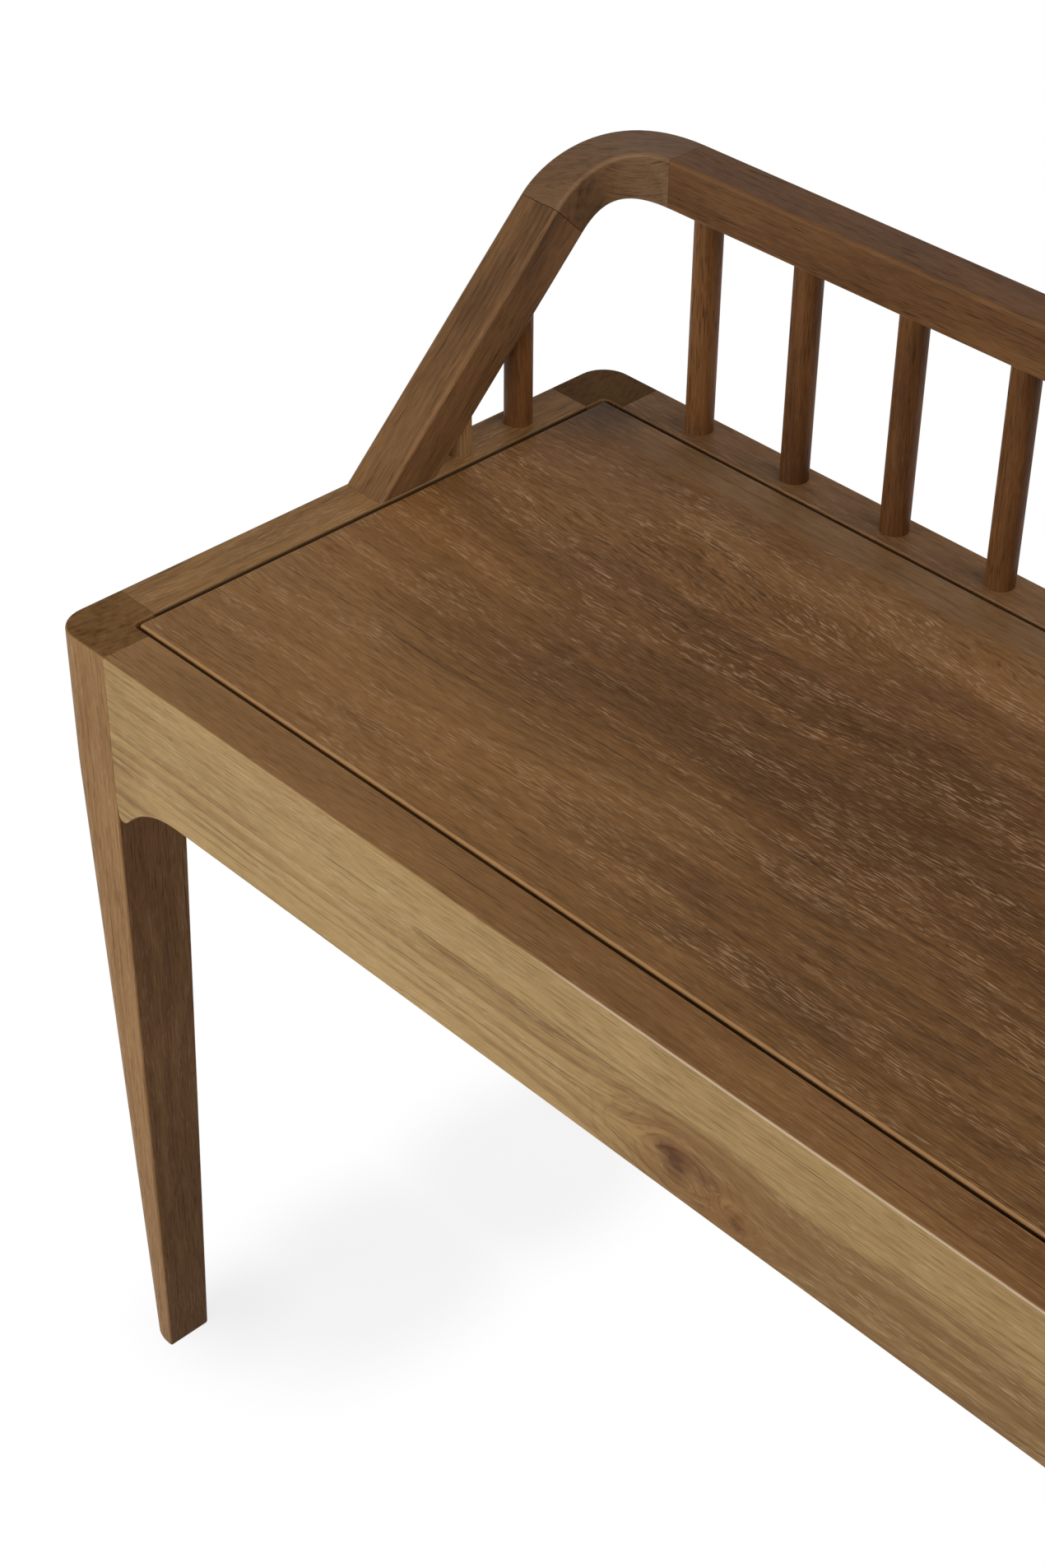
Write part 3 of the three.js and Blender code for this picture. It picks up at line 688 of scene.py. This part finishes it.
# Painted shade: the back corner under the arm is laid with a dark brown for the arm's shadow.
def painted_corner_shade(run, side, rise):
    return run.between(-0.55, -0.6) * side.between(0.10, 0.15) * 0.55


edge_round = 0.0016
for k in (1, 2, 3, 4):
    node = f"seat_board_{k}"
    low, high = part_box(node)
    one = block(f"oiled_{node}", low, high)
    inner_edges = [y for y, glued_there in ((high.y, k > 1), (low.y, k < 4)) if glued_there]
    ease_edges(one, edge_round, loose=lambda m: any(abs(m.y - y) < close for y in inner_edges), steps=4)
    # The boards' ends and their rounds are darker: end grain, and painted shade in the groove at each end.
    wood = hardwood(f"oiled seat wood {k}", "X", seat_colors[k], zone=seat_zones, shade=painted_corner_shade,
                    ends_from=0.2, ends_dark=0.85, **seat_looks[k])
    hand_over(one, wood, "seat_wood", node)


# Seat screws: countersunk steel screws with a cross slot, turned and plain. They are driven up
# through the battens into the boards, two to a batten.
steel = bpy.data.materials.new("plain screw steel")
steel.use_nodes = True
shader = steel.node_tree.nodes["Principled BSDF"]
shader.inputs["Metallic"].default_value = 1.0
metal = Tone(steel.node_tree, None)
place = metal.node("ShaderNodeTexCoord", None, None, "Object")
turned = metal.noise(place, 3.0, scale=900.0)
steel_tones = [(0.3, (0.34, 0.34, 0.33)), (0.7, (0.52, 0.52, 0.5))]
shade = metal.node("ShaderNodeValToRGB", {"stops": steel_tones}, {0: turned})
steel.node_tree.links.new(shade.socket, shader.inputs["Base Color"])
steel.node_tree.links.new((0.28 + turned * 0.2).socket, shader.inputs["Roughness"])
head_depth, slot_depth, past_head = 0.003, 0.0016, 0.001
low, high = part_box("seat_screw_1_1")
x, y, head_radius = (low.x + high.x) / 2, (low.y + high.y) / 2, (high.x - low.x) / 2
bpy.ops.object.select_all(action="DESELECT")
bpy.ops.mesh.primitive_cylinder_add(vertices=32, radius=head_radius / 2,
                                    depth=high.z - low.z - head_depth,
                                    location=(x, y, (high.z + low.z + head_depth) / 2))
screw = bpy.context.object
bpy.ops.object.transform_apply(location=True, rotation=True, scale=True)
# The shank widens to the countersunk head below, and its end is faced off above.
pick(screw, "FACE", lambda m, n: n.z < -mostly)
bpy.ops.mesh.extrude_region_move(TRANSFORM_OT_translate={"value": (0, 0, -head_depth)})
bpy.ops.transform.resize(value=(2, 2, 1))
pick(screw, "FACE", lambda m, n: n.z > mostly)
bpy.ops.mesh.extrude_region_move(TRANSFORM_OT_translate={"value": (0, 0, 0)})
bpy.ops.transform.resize(value=(0.2, 0.2, 1))
bpy.ops.object.mode_set(mode="OBJECT")
slot_reach, slot_half = head_radius * 0.6, head_radius * 0.12
for a, b in ((slot_reach, slot_half), (slot_half, slot_reach)):
    cut_away(screw, block("slot", (x - a, y - b, low.z - past_head), (x + a, y + b, low.z + slot_depth)))
work_on(screw)
bpy.ops.object.shade_smooth_by_angle(angle=math.radians(35))
for k in (1, 2, 3):
    for j in (1, 2):
        node = f"seat_screw_{k}_{j}"
        hand_over(copy_of(screw, f"driven_{node}", move=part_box(node)[0] - low), steel, "screw_steel", node)
bpy.data.objects.remove(screw)


# Arms: square hardwood bars cut level at the foot and stood on the side rails with a tenon, at half
# a right angle, with the edges of the bar softened along its length. The upper face would reach the
# height of the back at line_end_y, and the bend takes over before it does.
bar_width, bar_height = 0.0255, 0.026
back_rise = 0.1425
arm_foot_y = 0.174 - bench_front
line_end_y = bench_front - 0.0335
arm_slope = math.atan2(back_rise, line_end_y - arm_foot_y)
straight_share = 0.805
arm_length = straight_share * back_rise / math.sin(arm_slope)
below_foot = 0.05
soft = 0.0022
arm_colors = ((140, 102, 64), (119, 84, 52), (82, 55, 33))
arm = block("arm", (-bench_end, -below_foot, -bar_height), (-bench_end + bar_width, arm_length, 0))
arm.data.transform(Matrix.Translation((0, arm_foot_y, seat_top)) @ Matrix.Rotation(arm_slope, 4, "X"))
saw(arm, (0, 0, seat_top), (0, 0, -1), drop_far=True)
along_arm = Vector((0, math.cos(arm_slope), math.sin(arm_slope)))
out_of_arm = Vector((0, -math.sin(arm_slope), math.cos(arm_slope)))
arm_start = Vector((-bench_end, arm_foot_y, seat_top))


# A point at x from the arm's outer face, so far up its slope, and so far out from its upper face.
def on_arm(x, slope, out):
    return arm_start + Vector((x, 0, 0)) + along_arm * slope + out_of_arm * out


def at_arm_foot(m):
    return m.z < seat_top + close


def at_arm_top(m):
    return abs((m - arm_start).dot(along_arm) - arm_length) < close


# The grain of a sloping or curved piece turns with it.
def turn_grain(material, angle, about):
    mapping = next(node for node in material.node_tree.nodes if node.type == "MAPPING")
    mapping.vector_type = "TEXTURE"
    mapping.inputs["Rotation"].default_value = angle
    mapping.inputs["Location"].default_value = about


arm_wood = hardwood("oiled arm wood", "Y", arm_colors, heart=(-0.5, 0.3), ring=0.004, fibre=0.7,
                    cloud=1.5, pores=0.6, hairs=0.12, joint=0.15)
turn_grain(arm_wood, (arm_slope, 0, 0), (0, 0, 0))
for end, side_x in (("left", 1), ("right", -1)):
    one = copy_of(arm, f"oiled_arm_{end}", (side_x, 1, 1))
    ease_edges(one, soft, glued=at_arm_foot, loose=at_arm_top, steps=4)
    hand_over(one, arm_wood, "frame_wood", f"arm_{end}")
bpy.data.objects.remove(arm)


# Bends: each is sawn and carved from one block of hardwood, so that the bar turns from the arm's
# slope into the level top rail. It is glued square to both, and its edges are softened by hand.
back_top = seat_top + back_rise
rail_height = 0.0255
bend_length = 0.0638
joint_gap = 0.0003
bend_steps = 28
pull_at_arm = 0.56
outer_pull, inner_pull = 1, 0.8


# One long edge of the bend is a smooth curve from the arm's end to the top rail's. Its pulls are how
# far it keeps to the line of the arm and to that of the rail.
def bend_edge(x, out, inset, below, pull):
    start = on_arm(x, arm_length + joint_gap, out)
    end = Vector((-bench_end + bend_length, bench_front - inset, back_top - below))
    first = start + along_arm * (pull_at_arm * (end.z - start.z) / math.sin(arm_slope))
    last = end - Vector((pull * (bend_length - x), 0, 0))
    edge = []
    for i in range(bend_steps + 1):
        t = i / bend_steps
        lower = (1 - t) ** 3 * start + 3 * (1 - t) ** 2 * t * first
        edge.append(lower + 3 * (1 - t) * t ** 2 * last + t ** 3 * end)
    return edge


edges = [bend_edge(0, 0, 0, 0, outer_pull), bend_edge(bar_width, 0, bar_width, 0, inner_pull),
         bend_edge(bar_width, -bar_height, bar_width, rail_height, inner_pull),
         bend_edge(0, -bar_height, 0, rail_height, outer_pull)]
bpy.ops.object.select_all(action="DESELECT")
bpy.ops.mesh.primitive_plane_add(size=bar_width)
bend = bpy.context.object
bend.name = bend.data.name = "bend"
order = sorted(range(4), key=lambda i: math.atan2(bend.data.vertices[i].co.y, bend.data.vertices[i].co.x))
ring = [edge[0] for edge in edges]
for i, point in zip(order, ring):
    bend.data.vertices[i].co = point
# The bend is drawn out step by step from its foot, and each new end is set on the four edges.
for step in range(1, bend_steps + 1):
    last_middle = sum(ring, Vector()) / 4
    pick(bend, "FACE", lambda m, n: (m - last_middle).length < close)
    bpy.ops.mesh.extrude_region_move(TRANSFORM_OT_translate={"value": (0, 0, 0)})
    bpy.ops.object.mode_set(mode="OBJECT")
    after = [edge[step] for edge in edges]
    for point in bend.data.vertices:
        if point.select:
            point.co = after[min(range(4), key=lambda i: (point.co - ring[i]).length)]
    ring = after
turn_outwards(bend)


def at_bend_foot(m):
    return abs((Vector((-abs(m.x), m.y, m.z)) - arm_start).dot(along_arm) - arm_length - joint_gap) < close


def at_bend_top(m):
    return abs(abs(m.x) - bench_end + bend_length) < close


bend_colors = ((130, 97, 66), (112, 82, 56), (76, 53, 36))
bend_grain = math.radians(30)
for end, side_x in (("left", 1), ("right", -1)):
    one = copy_of(bend, f"oiled_bend_{end}", (side_x, 1, 1))
    ease_edges(one, soft, glued=at_bend_top, loose=at_bend_foot, steps=4)
    bend_wood = hardwood(f"oiled {end} bend wood", "X", bend_colors, heart=(0.16, 0.56), askew=0.1,
                         ring=0.006, fibre=0.6, cloud=1.3, hairs=0.08, curl=0.8, joint=0.2)
    turn_grain(bend_wood, (0, 0, side_x * bend_grain), (-side_x * bench_end, 0.15, 0))
    hand_over(one, bend_wood, "frame_wood", f"bend_{end}")
bpy.data.objects.remove(bend)


# Top rail: one level bar of hardwood, glued between the bends with a loose tenon at each end, and
# bored from below for the spindles.
low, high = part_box("top_rail")
top = block("oiled_top_rail", low, high)
ease_edges(top, soft, glued=lambda m: abs(m.x) > high.x - close, steps=4)
top_colors = ((126, 86, 49), (105, 69, 38), (74, 46, 24))
# Its upper face is painted darker and warmer, as painted shade that tempers its sheen.
top_wood = hardwood("oiled top rail wood", "X", top_colors, heart=(0.13, 0.60), askew=0.03, ring=0.005,
                    fibre=0.6, cloud=1.6, pores=0.6, hairs=0.1, curl=0.8, joint=0.2,
                    painted_top_shade=(0.86, 0.82, 0.68))
hand_over(top, top_wood, "frame_wood", "top_rail")


# Spindles: plain round hardwood dowels, glued into the rails below and above, or under the arms.
# Their ends are chamfered to start in the holes. One short one at each end is of paler wood.
spindle_colors = ((130, 87, 48), (109, 69, 35), (78, 46, 22))
pale_colors = ((172, 136, 92), (150, 114, 73), (116, 82, 52))
spindle_wood = hardwood("oiled spindle wood", "Z", spindle_colors, heart=(0.1, 0.3), ring=0.0035,
                        cloud=1.8, pores=0.7, hairs=0.1)
pale_wood = hardwood("oiled pale spindle wood", "Z", pale_colors, heart=(0.1, 0.3), ring=0.0035)
chamfer = 0.0012


# One dowel for each length, copied to every place where that length stands.
def spindles(material, *nodes):
    low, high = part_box(nodes[0])
    bpy.ops.object.select_all(action="DESELECT")
    bpy.ops.mesh.primitive_cylinder_add(vertices=48, radius=(high.x - low.x) / 2, depth=high.z - low.z,
                                        location=(low + high) / 2)
    dowel = bpy.context.object
    bpy.ops.object.transform_apply(location=True, rotation=True, scale=True)
    pick(dowel, "FACE", lambda m, n: abs(n.z) > mostly)
    bpy.ops.mesh.bevel(offset=chamfer, segments=1, affect="EDGES")
    work_on(dowel)
    bpy.ops.object.shade_smooth_by_angle(angle=math.radians(30))
    for node in nodes:
        one = copy_of(dowel, f"oiled_{node}", move=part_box(node)[0] - low)
        hand_over(one, material, "spindle_wood", node)
    bpy.data.objects.remove(dowel)


spindles(spindle_wood, *(f"back_spindle_{k:02d}" for k in range(1, 19)))
spindles(pale_wood, "side_spindle_left_1", "side_spindle_right_1")
spindles(spindle_wood, "side_spindle_left_2", "side_spindle_right_2")


# Loose tenons: four flat keys of planed wood, glued into mortises across the joints of the bends,
# where nothing of them shows.
for joint in ("arm", "rail"):
    for end in ("left", "right"):
        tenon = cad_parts[f"loose_tenon_{joint}_{end}"]
        tenon.data.materials.clear()
        tenon.data.materials.append(plain_wood)


# Studio: a white floor that keeps a soft shadow by the feet, a large lamp low in front, a soft
# lamp overhead to the right, and weak light from all round. The floor is whitest out past the pool
# of shadow round each end of the bench, and darkest where a foot stands on it: there its white glow
# is let down, so that the floor's own shadow shows, and the pool is also painted a little grey, as
# painted shadow.
bpy.ops.object.select_all(action="DESELECT")
bpy.ops.mesh.primitive_plane_add(size=40, location=(0, 0, 0))
floor = bpy.context.object
floor.name = "white_floor"
white = bpy.data.materials.new("white floor")
white.use_nodes = True
white.node_tree.nodes.clear()
ground = Tone(white.node_tree, None)


# What the camera and the reflections see of the background is white.
def background_seen(tone):
    camera_ray, glossy_ray, clear_ray = (tone.node("ShaderNodeLightPath", None, None, f"Is {kind} Ray")
                                         for kind in ("Camera", "Glossy", "Transmission"))
    return camera_ray + glossy_ray + clear_ray


place = ground.node("ShaderNodeTexCoord", None, None, "Object")
x, y = (ground.maths("ABSOLUTE", ground.node("ShaderNodeSeparateXYZ", None, {0: place}, axis))
        for axis in "XY")
pool_x, pool_y, pool_wide, pool_deep = 0.55, 0.06, 0.085, 0.125
beside, beyond = (x - pool_x) / pool_wide, (y - pool_y) / pool_deep
pool = ground.maths("SQRT", beside * beside + beyond * beyond).between(0.35, 1.1)
foot_x, foot_y, foot_reach = 0.585, 0.145, 0.06
beside, beyond = x - foot_x, y - foot_y
off_foot = ground.maths("SQRT", beside * beside + beyond * beyond).between(0.0, foot_reach)
# Painted shadow: less glow in the pool and by the foot greys the floor there.
whiteness = 0.845 + pool * 0.155 - (1 - off_foot) * 0.12
paint = ground.node("ShaderNodeBsdfDiffuse", None, {"Color": (0.85, 0.85, 0.85, 1)})
glow = ground.node("ShaderNodeEmission", None, {"Color": (1, 1, 1, 1), "Strength": 1})
glowing = background_seen(ground) * whiteness
both = ground.node("ShaderNodeMixShader", None, {0: glowing, 1: paint, 2: glow})
ground.node("ShaderNodeOutputMaterial", None, {"Surface": both})
floor.data.materials.append(white)

world = bpy.data.worlds.new("studio")
bpy.context.scene.world = world
world.use_nodes = True
world.node_tree.nodes.clear()
around = Tone(world.node_tree, None)
weak = around.node("ShaderNodeBackground", None, {"Color": (1, 1, 1, 1), "Strength": 0.19})
full = around.node("ShaderNodeBackground", None, {"Color": (1, 1, 1, 1), "Strength": 1})
sky = around.node("ShaderNodeMixShader", None, {0: background_seen(around), 1: weak, 2: full})
around.node("ShaderNodeOutputWorld", None, {"Surface": sky})


def soft_lamp(name, width, height, watts, color, place, aim):
    lamp = bpy.data.lights.new(name, "AREA")
    lamp.shape = "RECTANGLE"
    lamp.size, lamp.size_y, lamp.energy, lamp.color = width, height, watts, color
    stand = bpy.data.objects.new(name, lamp)
    bpy.context.scene.collection.objects.link(stand)
    stand.location = place
    stand.rotation_euler = (Vector(aim) - stand.location).to_track_quat("-Z", "Y").to_euler()
    stand.visible_camera = False


soft_lamp("front_lamp", 1.4, 0.7, 16.7, (0.95, 1.0, 1.02), (-0.45, -1.35, 0.6), (-0.3, 0, 0.42))
soft_lamp("overhead_lamp", 1.4, 1.4, 20, (1.0, 0.95, 0.9), (0.9, 0.3, 2.0), (-0.3, 0, 0.45))

# Camera: above and before the right half of the bench, looking down over the seat to its left end,
# from where the photograph was taken. Its three directions are those of the picture's frame.
camera_at = (0.2912, -0.7541, 1.1708)
right = Vector((0.6880196, 0.72566001, 0.00682468))
down = Vector((0.44463013, -0.41409718, -0.79424654))
forward = Vector((-0.57352688, 0.54949165, -0.60755728))
camera_data = bpy.data.cameras.new("camera")
camera_data.sensor_fit = "VERTICAL"
camera_data.sensor_height = 36
camera_data.lens = 65.51
camera = bpy.data.objects.new("camera", camera_data)
bpy.context.scene.collection.objects.link(camera)
turn = Matrix((right, -down, -forward)).transposed()
camera.matrix_world = Matrix.Translation(camera_at) @ turn.to_4x4()
bpy.context.scene.camera = camera
bpy.context.scene.view_settings.view_transform = "Standard"
